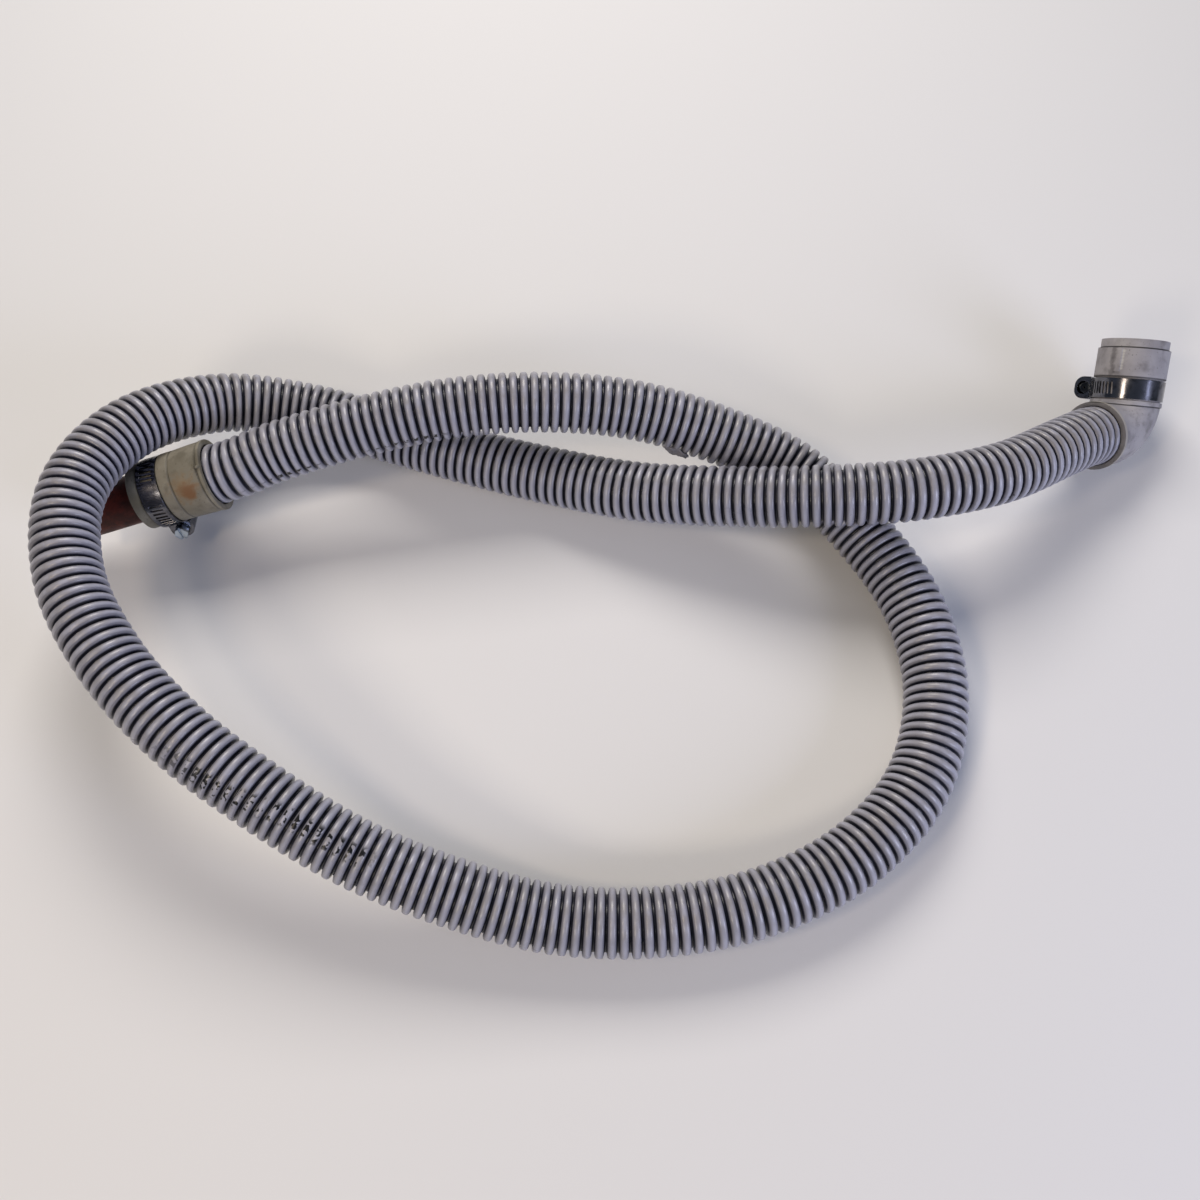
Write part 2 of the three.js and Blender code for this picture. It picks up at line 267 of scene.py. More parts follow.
# %% [markdown]
# Now the rings become one closed mesh: the outer wall out along the hose and the bore back. Its
# points carry values for the material: how high on the rib each one is, how far along the hose,
# and how far round from the worn print and from a row of specks. Both rows are lines along the
# hose, given by the side that they face at a few distances.

# %% Hose mesh
PRINT_SIDES = [(692, (0.15, -0.23, 0.96)), (720, (0.13, -0.24, 0.96)), (747, (-0.19, -0.57, 0.80)),
               (775, (-0.27, -0.55, 0.79))]
SPECK_SIDES = [(23, (0.27, -0.95, 0.10)), (66, (0.21, -0.97, -0.11)), (108, (0.14, -0.99, 0.01))]


def tube_mesh(name, rings):
    """Join rings of points into one closed tube whose last ring meets its first."""
    count = len(rings)
    ring = np.arange(count)[:, None]
    spot = np.arange(HOSE_SIDES)[None, :]
    next_ring = (ring + 1) % count
    next_spot = (spot + 1) % HOSE_SIDES
    corners = [ring * HOSE_SIDES + spot, ring * HOSE_SIDES + next_spot,
               next_ring * HOSE_SIDES + next_spot, next_ring * HOSE_SIDES + spot]
    faces = np.stack([np.broadcast_to(corner, (count, HOSE_SIDES)) for corner in corners], axis=-1)
    mesh = bpy.data.meshes.new(name)
    mesh.from_pydata(rings.reshape(-1, 3).tolist(), [], faces.reshape(-1, 4).tolist())
    mesh.validate()
    piece = bpy.data.objects.new(name, mesh)
    bpy.context.collection.objects.link(piece)
    return piece


def store(piece, name, values):
    """Keep one number for each point of a piece, for its material to read."""
    attribute = piece.data.attributes.new(name, "FLOAT", "POINT")
    attribute.data.foreach_set("value", np.asarray(values, dtype=np.float32).ravel())


def arc_from(distances, sides):
    """How far round the hose each point is from a line along it, in millimetres.

    The line is given by the side that it faces at chosen distances along the hose."""
    _, out = ring_directions(distances)
    keys = np.array([key for key, _ in sides]) * MM
    facing = np.array([np.interp(distances, keys, [side[axis] for _, side in sides]) for axis in range(3)]).T
    facing /= np.linalg.norm(facing, axis=1)[:, None]
    turn = np.arccos(np.clip((out * facing[:, None]).sum(axis=2), -1, 1))
    return turn * RIB_HIGH


def outward(piece):
    """Turn all faces of a piece to point out."""
    make_active(piece)
    bpy.ops.object.mode_set(mode="EDIT")
    bpy.ops.mesh.select_all(action="SELECT")
    bpy.ops.mesh.normals_make_consistent(inside=False)
    bpy.ops.object.mode_set(mode="OBJECT")


rings = np.concatenate([tube_rings(outer_along, outer_radius),
                        tube_rings(bore_along, np.full(len(bore_along), HOSE_INNER))])
hose = tube_mesh("ribbed_hose", rings)
height = np.concatenate([(outer_radius / MM - RIB_LOW) / (RIB_HIGH - RIB_LOW), np.zeros(len(bore_along))])
store(hose, "rib_height", np.repeat(height, HOSE_SIDES))
ring_along = np.concatenate([outer_along, bore_along])
store(hose, "hose_distance", np.repeat(ring_along / MM, HOSE_SIDES))
store(hose, "print_arc", arc_from(ring_along, PRINT_SIDES))
store(hose, "speck_arc", arc_from(ring_along, SPECK_SIDES))
outward(hose)
make_active(hose)
bpy.ops.object.shade_smooth()
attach(hose, "hose_assembly")
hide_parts("corrugated_hose")
print("hose mesh:", len(hose.data.polygons) * 2, "triangles")

# %% [markdown]
# The cuffs and the tube are turned shapes, and edit mode makes them ring by ring: we add a bare
# circle, extrude it along the axis, scale it to the next radius, and go on round the section
# until the last ring meets the first. A small bevel then breaks every sharp corner, as rubber
# from a mould never has a knife edge.

# %% Rings that grow into a turned piece
SIDES = 64


def start_ring(name, radius, height):
    """Add a bare circle about Z, sizes in millimetres, and select it in edit mode."""
    piece = add_object(name, bpy.ops.mesh.primitive_circle_add, vertices=SIDES, radius=radius * MM,
                       fill_type="NOTHING")
    bpy.ops.object.mode_set(mode="EDIT")
    bpy.ops.mesh.select_mode(type="VERT")
    bpy.ops.mesh.select_all(action="SELECT")
    bpy.ops.transform.translate(value=(0, 0, height * MM))
    return piece


def extrude_rings(last, section, base=Vector((0, 0, 0)), axis=UP):
    """Extrude the selected ring through (radius, height) stations along an axis from a base."""
    for radius, height in section:
        old_radius, old_height = last
        step = axis * (height - old_height) * MM
        bpy.ops.mesh.extrude_region_move(TRANSFORM_OT_translate={"value": step})
        if radius != old_radius:
            grow = radius / old_radius
            middle = base + axis * height * MM
            bpy.ops.transform.resize(value=(grow, grow, grow), center_override=middle)
        last = (radius, height)


def close_rings():
    """Merge the last ring with the first and turn the closed skin to point out."""
    bpy.ops.mesh.select_all(action="SELECT")
    bpy.ops.mesh.remove_doubles(threshold=0.005 * MM)
    bpy.ops.mesh.normals_make_consistent(inside=False)
    bpy.ops.object.mode_set(mode="OBJECT")


def apply_modifier(piece, kind, **settings):
    """Add a modifier, set it and apply it."""
    make_active(piece)
    modifier = piece.modifiers.new(kind.lower(), kind)
    for name, value in settings.items():
        setattr(modifier, name, value)
    bpy.ops.object.modifier_apply(modifier=modifier.name)


def soften(piece, width, segments=2, angle=32):
    """Bevel the corners sharper than an angle and shade the rest smooth."""
    apply_modifier(piece, "BEVEL", width=width * MM, segments=segments, limit_method="ANGLE",
                   angle_limit=math.radians(angle), harden_normals=False)
    make_active(piece)
    bpy.ops.object.shade_smooth_by_angle(angle=math.radians(40))


def settle(piece, place):
    """Move a finished piece to its place, and put that place into its mesh."""
    piece.matrix_world = place @ piece.matrix_world
    make_active(piece)
    bpy.ops.object.transform_apply(location=True, rotation=True, scale=True)
    print(piece.name, len(piece.data.polygons), "faces")


def select_where(piece, kind, wanted):
    """In edit mode, select the faces or the edges whose middle, in millimetres, passes a test."""
    bpy.ops.mesh.select_mode(type=kind)
    bpy.ops.mesh.select_all(action="DESELECT")
    mesh = bmesh.from_edit_mesh(piece.data)
    for part in mesh.faces if kind == "FACE" else mesh.edges:
        middle = sum((vertex.co for vertex in part.verts), Vector()) / len(part.verts)
        part.select = wanted(middle / MM)
    bmesh.update_edit_mesh(piece.data)


print("ring tools ready")

# %% [markdown]
# Each end of the hose gets a frame of its own. Its Z runs on out of the hose, and its X leans
# towards a chosen direction: straight up on the straight cuff, and towards the open mouth on
# the elbow. Once a piece is modelled about plain Z, this frame carries it to its place.

# %% Frames of the two ends
def seated_at(origin, axis, wanted):
    """A frame at a point with Z along an axis and X as near to a wanted direction as it can be."""
    z = axis.normalized()
    x = (wanted - wanted.dot(z) * z).normalized()
    turn = Matrix((x, z.cross(x), z)).transposed().to_4x4()
    return Matrix.Translation(origin) @ turn


MOUTH = Vector((0.12, 0.80, 0.58)).normalized()
straight_frame = seated_at(route[0], cuff_axis, UP)
elbow_frame = seated_at(route[-1], elbow_axis, MOUTH)
print("straight cuff starts at", [round(v, 4) for v in straight_frame.translation])
print("elbow starts at", [round(v, 4) for v in elbow_frame.translation])

# %% [markdown]
# Where the two runs of the hose cross, a crumpled flap of its own plastic bridges three ribs,
# as if it had once been scuffed or melted. A ball of small triangles is flattened to the flap's
# size and its points are moved by noise. The flap carries the same values as the hose, set so
# that it takes neither the dark of the grooves, which is grime and painted shade, nor the crests'
# painted highlight nor ink, and it is joined to the hose, so that it moves with it.

# %% Torn flap
FLAP_PLACE = Vector((20.7, 81.6, 28.9)) * MM
FLAP_OUT = Vector((-0.3, -0.88, -0.35))
FLAP_LONG = Vector((9.6, -1.7, -4.8))
FLAP_HALF = (6.4, 3.0, 1.3)
FLAP_VALUES = {"rib_height": 0.9, "hose_distance": 226, "print_arc": 40, "speck_arc": 40}


def torn_flap():
    """A crumpled scrap of plastic that lies across three ribs."""
    flap = add_object("torn_flap", bpy.ops.mesh.primitive_ico_sphere_add, subdivisions=4, radius=1)
    for vertex in flap.data.vertices:
        ball = vertex.co.copy()
        ragged = 1 + 0.3 * noise.noise(ball * 1.6)
        fold = 1.5 * noise.noise(Vector((ball.x * 2.1, ball.y * 1.3, 3.7)))
        vertex.co = Vector((ball.x * FLAP_HALF[0] * ragged, ball.y * FLAP_HALF[1] * ragged,
                            ball.z * FLAP_HALF[2] + fold + 0.4 * noise.noise(ball * 4))) * MM
    settle(flap, seated_at(FLAP_PLACE, FLAP_OUT, FLAP_LONG))
    for name, value in FLAP_VALUES.items():
        store(flap, name, np.full(len(flap.data.vertices), value))
    return flap


make_active(hose, torn_flap())
bpy.ops.object.join()
bpy.ops.object.shade_smooth()
print("hose with its flap:", len(hose.data.vertices), "points")

# %% [markdown]
# The straight cuff is one moulding of grey-beige rubber. From the hose to its mouth it has a
# collar with a groove, a barrel that tapers a little, a ring, a seat for the clamp and a lip.
# Inside, one socket holds the hose and the other holds the copper tube. We go round the section
# outwards first and come back through the bore. A small moulded knob sits on the collar.

# %% Straight cuff
FIT = 0.3
PIPE_OUTER, PIPE_BORE = 11, 10
HOSE_SOCKET = RIB_HIGH + FIT
PIPE_SOCKET = PIPE_OUTER + FIT
CUFF_LENGTHS = {"rim": 1.3, "groove": 0.9, "body": 15, "ring": 5.2, "seat": 10.2, "lip": 4.4}
CUFF_COLLAR = HOSE_SOCKET + 2.4
CUFF_BODY = HOSE_SOCKET + 2.1
CUFF_RING = CUFF_BODY - 0.4
CUFF_SEAT = PIPE_SOCKET + 3.1
CUFF_LIP = PIPE_SOCKET + 3.7
CUFF_BORE = 10.5
GROOVE_DEPTH = 0.7
RING_NOTCH = 0.6
KNOB_TURN = -18
KNOB_SIZE = (1.6, 1.3, 2.2)
ring_end = CUFF_LENGTHS["body"] + CUFF_LENGTHS["ring"]
seat_end = ring_end + CUFF_LENGTHS["seat"]
cuff_end = seat_end + CUFF_LENGTHS["lip"]
PIPE_INSIDE = 22
PIPE_OUTSIDE = 30


def straight_cuff():
    """The sleeve between the hose and the copper tube."""
    rim = CUFF_LENGTHS["rim"]
    groove = rim + CUFF_LENGTHS["groove"]
    body = CUFF_LENGTHS["body"]
    stop = cuff_end - PIPE_INSIDE - FIT
    first = (HOSE_SOCKET, 0)
    section = [
        (CUFF_COLLAR, 0), (CUFF_COLLAR, rim), (CUFF_COLLAR - GROOVE_DEPTH, rim + 0.15),
        (CUFF_COLLAR - GROOVE_DEPTH, groove), (CUFF_BODY, groove + 0.25), (CUFF_BODY - 0.1, body / 2),
        (CUFF_RING, body - RING_NOTCH), (CUFF_RING - RING_NOTCH, body), (CUFF_RING, body + RING_NOTCH),
        (CUFF_RING, ring_end), (CUFF_SEAT, ring_end), (CUFF_SEAT, seat_end), (CUFF_LIP, seat_end),
        (CUFF_LIP, cuff_end), (PIPE_SOCKET, cuff_end), (PIPE_SOCKET, stop), (CUFF_BORE, stop),
        (CUFF_BORE, HOSE_INSIDE + FIT), (HOSE_SOCKET, HOSE_INSIDE + FIT), first,
    ]
    piece = start_ring("straight_rubber_cuff", *first)
    extrude_rings(first, section)
    close_rings()
    combine(piece, "UNION", knob(CUFF_COLLAR + 0.3, 1.3))
    soften(piece, 0.28)
    return piece


def knob(radius, height):
    """A small rounded block that stands on a collar."""
    block = add_object("knob", bpy.ops.mesh.primitive_cube_add, size=1)
    bpy.ops.object.mode_set(mode="EDIT")
    bpy.ops.transform.resize(value=[side * MM for side in KNOB_SIZE])
    bpy.ops.mesh.select_all(action="SELECT")
    bpy.ops.mesh.bevel(offset=0.45 * MM, segments=2, affect="EDGES")
    bpy.ops.object.mode_set(mode="OBJECT")
    block.matrix_world = Matrix.Rotation(math.radians(KNOB_TURN), 4, "Z") @ Matrix.Translation(
        (radius * MM, 0, height * MM))
    return block


def combine(piece, operation, other):
    """Fuse another closed mesh with a piece ("UNION") or cut it out ("DIFFERENCE")."""
    apply_modifier(piece, "BOOLEAN", operation=operation, solver="EXACT", object=other)
    bpy.data.objects.remove(other)


cuff = straight_cuff()
settle(cuff, straight_frame)
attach(cuff, "hose_assembly")
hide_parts("straight_cuff")

# %% [markdown]
# A short end of copper tube is still clamped in the cuff. It is a plain tube with a millimetre
# of wall, and its cut end is only lightly broken.

# %% Copper tube
def copper_tube():
    """The stub of tube that the straight cuff is clamped on."""
    start = cuff_end - PIPE_INSIDE
    end = cuff_end + PIPE_OUTSIDE
    first = (PIPE_BORE, start)
    piece = start_ring("copper_tube_stub", *first)
    extrude_rings(first, [(PIPE_OUTER, start), (PIPE_OUTER, end - 0.4), (PIPE_OUTER - 0.2, end),
                          (PIPE_BORE, end), first])
    close_rings()
    soften(piece, 0.12)
    return piece


tube = copper_tube()
settle(tube, straight_frame)
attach(tube, "hose_assembly")
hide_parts("copper_pipe_stub")

# %% [markdown]
# The elbow is another single moulding. Its section goes straight along the hose, turns through
# about 79 degrees, and goes on along the mouth arm. Straight stretches are extruded as before,
# and Spin makes the bend by sweeping the selected ring about an axis beside it. Two faces of the
# head are then drawn out as the small rib that the mould left there, and a thin flange plate is
# joined to the end of the bend.

# %% Elbow cuff
ELBOW_OUTER = HOSE_SOCKET + 1.2
ELBOW_BORE = ELBOW_OUTER - 5
ELBOW_SEAT = ELBOW_OUTER - 0.4
ELBOW_HEAD = ELBOW_OUTER + 0.5
ELBOW_LIP = ELBOW_OUTER - 0.4
ELBOW_MOUTH = ELBOW_OUTER - 4
ELBOW_RIM = ELBOW_OUTER + 0.7
HOSE_STRAIGHT = 10.6
BEND = math.radians(79.2)
BEND_RADIUS = ELBOW_OUTER + 0.6
BEND_STEPS = 20
ARM_LENGTHS = {"flange": 2, "seat": 10.4, "head": 13.2, "lip": 4.1, "mouth_depth": 24}
RIB_LENGTH = 10.5
RIB_RISE = 0.7
RIB_ANGLE = 7
setback = BEND_RADIUS * math.tan(BEND / 2)
bend_end = (Matrix.Translation((0, 0, (HOSE_STRAIGHT + setback) * MM)) @ Matrix.Rotation(BEND, 4, "Y")
            @ Matrix.Translation((0, 0, setback * MM)))


def spin_bend(way):
    """Sweep the selected ring round the bend, way 1 from the hose and -1 back to it."""
    bpy.ops.mesh.spin(steps=BEND_STEPS, angle=-way * BEND, axis=(0, 1, 0),
                      center=(BEND_RADIUS * MM, 0, HOSE_STRAIGHT * MM))


def raise_rib(piece, low, high):
    """Draw the faces of the head beside the rib's angle out into a rib."""
    to_arm = bend_end.inverted()
    reach = 360 / SIDES

    def on_rib(middle):
        spot = to_arm @ (middle * MM) / MM
        angle = math.degrees(math.atan2(spot.y, spot.x))
        outside = math.hypot(spot.x, spot.y) > ELBOW_HEAD - 0.3
        return outside and low < spot.z < high and abs(angle - RIB_ANGLE) <= reach

    select_where(piece, "FACE", on_rib)
    turn = Matrix.Rotation(math.radians(RIB_ANGLE), 3, "Z")
    out = bend_end.to_3x3() @ turn @ Vector((RIB_RISE * MM, 0, 0))
    bpy.ops.mesh.extrude_region_move(TRANSFORM_OT_translate={"value": out})


def elbow_cuff():
    """The rubber elbow from the hose's face to its open mouth."""
    base = bend_end.translation
    axis = bend_end.to_3x3() @ UP
    seat = ARM_LENGTHS["seat"]
    head = seat + ARM_LENGTHS["head"]
    mouth = head + ARM_LENGTHS["lip"]
    mouth_floor = mouth - ARM_LENGTHS["mouth_depth"]
    first = (HOSE_SOCKET, 0)
    piece = start_ring("rubber_elbow", *first)
    extrude_rings(first, [(ELBOW_RIM, 0), (ELBOW_RIM, 1.6), (ELBOW_OUTER, 2.1),
                          (ELBOW_OUTER, HOSE_STRAIGHT)])
    spin_bend(1)
    rib_low, rib_high = head - 0.5 - RIB_LENGTH, head - 0.5
    extrude_rings((ELBOW_OUTER, 0), [
        (ELBOW_SEAT, 0), (ELBOW_SEAT, seat), (ELBOW_HEAD, seat), (ELBOW_HEAD, rib_low),
        (ELBOW_HEAD, rib_high), (ELBOW_HEAD, head), (ELBOW_LIP, head), (ELBOW_LIP, mouth),
        (ELBOW_MOUTH, mouth), (ELBOW_MOUTH, mouth_floor), (ELBOW_BORE, mouth_floor), (ELBOW_BORE, 0),
    ], base, axis)
    spin_bend(-1)
    socket_end = HOSE_INSIDE + FIT
    extrude_rings((ELBOW_BORE, HOSE_STRAIGHT), [(ELBOW_BORE, socket_end), (HOSE_SOCKET, socket_end), first])
    close_rings()
    make_active(piece)
    bpy.ops.object.mode_set(mode="EDIT")
    raise_rib(piece, rib_low, rib_high)
    bpy.ops.object.mode_set(mode="OBJECT")
    combine(piece, "UNION", flange())
    soften(piece, 0.25)
    return piece


def flange():
    """The thin plate round the end of the bend that keeps the clamp on its seat."""
    inside = ELBOW_OUTER - 2
    first = (inside, -ARM_LENGTHS["flange"])
    plate = start_ring("flange", *first)
    extrude_rings(first, [(ELBOW_HEAD, first[1]), (ELBOW_HEAD, 0), (inside, 0), first])
    close_rings()
    plate.matrix_world = bend_end
    return plate


elbow = elbow_cuff()
settle(elbow, elbow_frame)
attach(elbow, "hose_assembly")
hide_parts("elbow_cuff")

# %% [markdown]
# A worm-drive clamp is a band of polished stainless steel with slots pressed across it, a pressed
# housing that is closed over the band, and a screw whose thread runs in the slots. The band
# starts under the housing, goes once round, passes under the screw on top of its own start and
# comes out as a loose tail.

# %% Frames and sizes of the clamps
BAND = {"thick": 0.7, "pitch": 2, "slot": 5.4, "lean": 6, "entry_gap": 1.6}
SADDLE = {"length": 11, "width": 10.4, "wall": 1.1, "crown": 4.2}
SCREW = {"core": 4.6, "crest": 5.6, "bore": 6.2, "lift": 2.6, "across": 5.5, "head": 3.8, "journal": 0.9,
         "slot_width": 1, "slot_depth": 1.2}
CLAMPS = {
    "straight": {"seat": CUFF_SEAT, "turn": -156, "head": 1, "entry_slots": 26, "tail_slots": 11},
    "elbow": {"seat": ELBOW_SEAT, "turn": -86, "head": -1, "entry_slots": 9, "tail_slots": 4},
}
CLAMPS["straight"]["frame"] = straight_frame @ Matrix.Translation((0, 0, (ring_end + seat_end) / 2 * MM))
CLAMPS["elbow"]["frame"] = elbow_frame @ bend_end @ Matrix.Translation((0, 0, ARM_LENGTHS["seat"] / 2 * MM))


def clamp_place(clamp):
    """The clamp's own frame: Z through the cuff, X out through the housing, the screw along Y."""
    return clamp["frame"] @ Matrix.Rotation(math.radians(clamp["turn"]), 4, "Z")


def screw_axis(clamp):
    """Distance of the screw from the cuff's axis."""
    return clamp["seat"] + FIT + 2 * BAND["thick"] + SCREW["lift"]


for clamp_name, clamp in CLAMPS.items():
    print(clamp_name, "clamp: screw stands", round(screw_axis(clamp), 1), "mm from the axis")

# %% [markdown]
# The band is made flat, as a grid 9 mm wide whose columns are a quarter of a slot's pitch. Its
# rows are moved to the edges of the slots, the slot cells are deleted, and Solidify gives it the
# steel's thickness. Then it is rolled up: the distance along the strip becomes an angle.

# %% Slotted band
CELLS_PER_PITCH = 4
ROW_PLACES = [-4.5, -4.1, -2.7, -2.1, 2.1, 2.7, 4.1, 4.5]
RISE_LENGTH = 5


def flat_strip(name, length, slot_places):
    """A flat strip along X with slots cut at the given distances."""
    columns = round(length / BAND["pitch"] * CELLS_PER_PITCH)
    strip = add_object(name, bpy.ops.mesh.primitive_grid_add, x_subdivisions=columns,
                       y_subdivisions=len(ROW_PLACES) - 1, size=1)
    rows = np.linspace(-0.5, 0.5, len(ROW_PLACES))
    for vertex in strip.data.vertices:
        row = int(np.argmin(np.abs(rows - vertex.co.y)))
        vertex.co = ((vertex.co.x + 0.5) * length, ROW_PLACES[row], 0)
    bpy.ops.object.mode_set(mode="EDIT")
    half_cell = length / columns
    slot_end = BAND["slot"] / 2

    def in_slot(middle):
        spot = middle * MM
        return abs(spot.y) < slot_end and any(abs(spot.x - place) < half_cell for place in slot_places)

    select_where(strip, "FACE", in_slot)
    bpy.ops.mesh.delete(type="FACE")
    bpy.ops.object.mode_set(mode="OBJECT")
    lean = math.tan(math.radians(BAND["lean"]))
    for vertex in strip.data.vertices:
        if abs(vertex.co.y) <= slot_end + 0.01:
            vertex.co.x += vertex.co.y * lean
    return strip


def clamp_band(name, clamp):
    """One strip of steel rolled into the clamp's loop, with its tail on top of its start."""
    inner = clamp["seat"] + FIT
    thick = BAND["thick"]
    outer = inner + thick
    under = SADDLE["length"] / 2
    round_once = 2 * math.pi * outer
    tail = under + BAND["pitch"] * (clamp["tail_slots"] + 1)
    start = -under
    length = round_once + tail - start
    entry_last = round_once - under - BAND["entry_gap"]
    slots = [entry_last - BAND["pitch"] * (i + 0.5) - start for i in range(clamp["entry_slots"])]
    slots += [round_once + under + BAND["pitch"] * (i + 0.5) - start for i in range(clamp["tail_slots"])]
    strip = flat_strip(name, length, slots)
    apply_modifier(strip, "SOLIDIFY", thickness=thick * 0.92, offset=0)
    rise_end = round_once - under
    for vertex in strip.data.vertices:
        distance = vertex.co.x + start
        rise = min(max((distance - rise_end + RISE_LENGTH) / RISE_LENGTH, 0), 1)
        radius = inner + thick / 2 + thick * rise * rise * (3 - 2 * rise) + vertex.co.z
        angle = distance / outer * clamp["head"]
        vertex.co = (radius * math.cos(angle) * MM, radius * math.sin(angle) * MM, vertex.co.y * MM)
    outward(strip)
    soften(strip, 0.08, segments=1, angle=50)
    settle(strip, clamp_place(clamp))
    return strip


for clamp_name, clamp in CLAMPS.items():
    band = clamp_band(clamp_name + "_slotted_band", clamp)
    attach(band, "hose_assembly")
    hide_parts(clamp_name + "_clamp_band")
    clamp["pieces"] = [band]

# %% [markdown]
# The housing is pressed from one blank: a barrel over the screw with two walls that close
# round the band. We bevel the two long top edges of a cube until it is an arch, then cut the
# screw's bore and the drum of the band out of it.

# %% Clamp housing
def drum(radius, length, axis_turn, place):
    """A round cutter, turned from Z if asked."""
    cutter = add_object("drum", bpy.ops.mesh.primitive_cylinder_add, vertices=72, radius=radius * MM,
                        depth=length * MM)
    cutter.matrix_world = Matrix.Translation(Vector(place) * MM) @ axis_turn
    bpy.ops.object.transform_apply(location=True, rotation=True, scale=True)
    return cutter


ALONG_Y = Matrix.Rotation(math.radians(90), 4, "X")


def clamp_housing(name, clamp):
    """The pressed barrel that holds the screw down on the band."""
    axis = screw_axis(clamp)
    low = clamp["seat"]
    top = axis + SCREW["bore"] / 2 + SADDLE["wall"]
    piece = add_object(name, bpy.ops.mesh.primitive_cube_add, size=1)
    bpy.ops.object.mode_set(mode="EDIT")
    bpy.ops.transform.resize(value=((top - low) * MM, SADDLE["length"] * MM, SADDLE["width"] * MM))
    bpy.ops.transform.translate(value=((top + low) / 2 * MM, 0, 0))
    half_width = SADDLE["width"] / 2
    select_where(piece, "EDGE", lambda at: at.x > top - 0.1 and abs(abs(at.z) - half_width) < 0.1)
    bpy.ops.mesh.bevel(offset=SADDLE["crown"] * MM, segments=10, affect="EDGES")
    bpy.ops.object.mode_set(mode="OBJECT")
    combine(piece, "DIFFERENCE", drum(SCREW["bore"] / 2, 3 * SADDLE["length"], ALONG_Y, (axis, 0, 0)))
    around = clamp["seat"] + 2 * FIT + 2 * BAND["thick"]
    combine(piece, "DIFFERENCE", drum(around, 2 * SADDLE["width"], Matrix(), (0, 0, 0)))
    soften(piece, 0.22, segments=3, angle=40)
    settle(piece, clamp_place(clamp))
    return piece


for clamp_name, clamp in CLAMPS.items():
    housing = clamp_housing(clamp_name + "_screw_housing", clamp)
    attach(housing, "hose_assembly")
    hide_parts(clamp_name + "_clamp_housing")
    clamp["pieces"].append(housing)

# %% [markdown]
# The screw is zinc-plated steel: a hexagon head with a driver slot, a plain journal behind it
# and a worm thread whose tail sits a little inside the end of the housing. The thread is one
# pitch of its outline, wound up by the Screw modifier. The head is a six-sided cylinder whose
# outer face is inset and lowered a little before the slot is cut across it.

# %% Clamp screw
THREAD_TURNS = 4
THREAD_FOOT = 0.75
THREAD_SUNK = 0.2
TAIL_DEPTH = 1.3
CLOSED_END = 0.4


def worm_thread(name):
    """A closed helical ridge about Z, centred on the origin, that stands on the screw's core."""
    core, crest, pitch = SCREW["core"] / 2, SCREW["crest"] / 2 - 0.05, BAND["pitch"]
    root = core - THREAD_SUNK
    outline = [(root, 0), (crest, 0.3 * pitch), (crest, 0.45 * pitch), (root, THREAD_FOOT * pitch)]
    first = outline[0]
    piece = add_object(name, bpy.ops.mesh.primitive_plane_add, size=MM)
    bpy.ops.object.mode_set(mode="EDIT")
    bpy.ops.mesh.select_mode(type="VERT")
    bpy.ops.mesh.merge(type="CENTER")
    bpy.ops.transform.translate(value=(first[0] * MM, 0, first[1] * MM))
    last = first
    for radius, height in [*outline[1:], first]:
        step = ((radius - last[0]) * MM, 0, (height - last[1]) * MM)
        bpy.ops.mesh.extrude_region_move(TRANSFORM_OT_translate={"value": step})
        last = (radius, height)
    bpy.ops.mesh.select_all(action="SELECT")
    bpy.ops.mesh.remove_doubles(threshold=0.002 * MM)
    bpy.ops.object.mode_set(mode="OBJECT")
    apply_modifier(piece, "SCREW", axis="Z", steps=24, render_steps=24, iterations=THREAD_TURNS,
                   screw_offset=pitch * MM)
    bpy.ops.object.mode_set(mode="EDIT")
    bpy.ops.mesh.select_all(action="SELECT")
    bpy.ops.mesh.fill_holes(sides=4)
    bpy.ops.mesh.normals_make_consistent(inside=False)
    bpy.ops.transform.translate(value=(0, 0, -(THREAD_TURNS + THREAD_FOOT) * pitch / 2 * MM))
    bpy.ops.object.mode_set(mode="OBJECT")
    return piece


def screw_head(low):
    """A hexagon head with a driver slot, standing on the height given."""
    radius = SCREW["across"] / 2 / math.cos(math.pi / 6)
    head = add_object("hexagon", bpy.ops.mesh.primitive_cylinder_add, vertices=6, radius=radius * MM,
                      depth=SCREW["head"] * MM)
    bpy.ops.object.mode_set(mode="EDIT")
    bpy.ops.transform.translate(value=(0, 0, (low + SCREW["head"] / 2) * MM))
    select_where(head, "FACE", lambda middle: middle.z > low + SCREW["head"] - 0.1)
    bpy.ops.mesh.inset(thickness=0.45 * MM, depth=0)
    bpy.ops.transform.translate(value=(0, 0, -0.25 * MM))
    bpy.ops.object.mode_set(mode="OBJECT")
    blade = add_object("blade", bpy.ops.mesh.primitive_cube_add, size=1)
    blade.scale = (SCREW["across"] * 2 * MM, SCREW["slot_width"] * MM, SCREW["slot_depth"] * 2 * MM)
    blade.location = (0, 0, (low + SCREW["head"]) * MM)
    bpy.ops.object.transform_apply(location=True, rotation=True, scale=True)
    combine(head, "DIFFERENCE", blade)
    soften(head, 0.16, segments=3, angle=25)
    return head


def clamp_screw(name, clamp):
    """The whole screw, its axis along Y at the clamp's screw distance."""
    half = SADDLE["length"] / 2
    core, crest = SCREW["core"] / 2, SCREW["crest"] / 2
    journal = half - SCREW["journal"]
    low = half + FIT
    in_head = low + 0.6
    first = (CLOSED_END, TAIL_DEPTH - half)
    shaft = start_ring(name, *first)
    extrude_rings(first, [
        (core, first[1]), (core, journal), (crest, journal), (crest, half), (core, half),
        (core, in_head), (CLOSED_END, in_head), first])
    close_rings()
    soften(shaft, 0.1)
    make_active(shaft, worm_thread(name + "_thread"), screw_head(low))
    bpy.ops.object.join()
    along_y = Matrix.Rotation(math.radians(-90 * clamp["head"]), 4, "X")
    settle(shaft, clamp_place(clamp) @ Matrix.Translation((screw_axis(clamp) * MM, 0, 0)) @ along_y)
    return shaft


